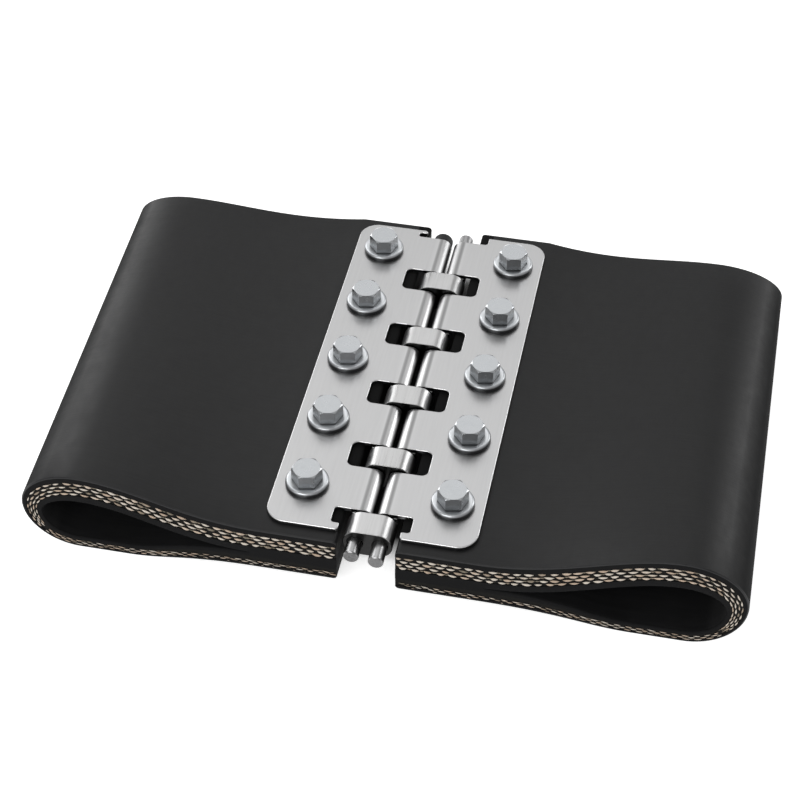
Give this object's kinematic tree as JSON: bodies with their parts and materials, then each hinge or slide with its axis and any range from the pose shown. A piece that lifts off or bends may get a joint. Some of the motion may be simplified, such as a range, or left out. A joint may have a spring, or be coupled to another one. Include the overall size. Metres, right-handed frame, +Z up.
{
  "type": "hinged belt fastener strip",
  "caption": "Bolted hinge fastener strip: steel plates with rolled knuckles, paired hinge pins and tie links, joining folded rubber belt ends with a woven core.",
  "frame": {"origin": "middle of the overall box, on the floor that the folded belt ends rest on", "axes": "+X across the joint from the left plate to the right plate, -Y along the hinge pins to their free ends, +Z up through the bolts"},
  "size_m": [0.309, 0.2082, 0.0452],
  "materials": {
    "plate_steel": "satin",
    "link_steel": "satin",
    "pin_steel": "satin",
    "fastener_steel": "bright",
    "cap_plastic": "matte",
    "cover_rubber": "satin",
    "carcass_cloth": "matte"
  },
  "bodies": {
    "left_half": {"left_plate": "plate_steel", "left_bolts": "fastener_steel", "left_washers": "fastener_steel", "left_nuts": "fastener_steel", "left_outer_cover": "cover_rubber", "left_carcass": "carcass_cloth", "left_inner_cover": "cover_rubber"},
    "links": {"link_1": "link_steel", "link_2": "link_steel", "link_3": "link_steel", "link_4": "link_steel", "link_5": "link_steel"},
    "right_half": {"right_plate": "plate_steel", "right_bolts": "fastener_steel", "right_washers": "fastener_steel", "right_nuts": "fastener_steel", "right_outer_cover": "cover_rubber", "right_carcass": "carcass_cloth", "right_inner_cover": "cover_rubber"},
    "left_pin": {"left_hinge_pin": "pin_steel", "left_pin_cap": "cap_plastic"},
    "right_pin": {"right_hinge_pin": "pin_steel"}
  },
  "joints": [
    {"name": "left_hinge", "type": "hinge", "parent": "left_half", "child": "links", "pos_m": [-0.00413, 0, 0.02438], "axis": [0, 1, 0], "range_deg": [-60, 30]},
    {"name": "right_hinge", "type": "hinge", "parent": "links", "child": "right_half", "pos_m": [0.00613, 0, 0.02438], "axis": [0, 1, 0], "range_deg": [-60, 30]},
    {"name": "left_pin_slide", "type": "slide", "parent": "left_half", "child": "left_pin", "axis": [0, 1, 0], "range_m": [0, 0.19]},
    {"name": "right_pin_slide", "type": "slide", "parent": "right_half", "child": "right_pin", "axis": [0, -1, 0], "range_m": [0, 0.175]}
  ]
}
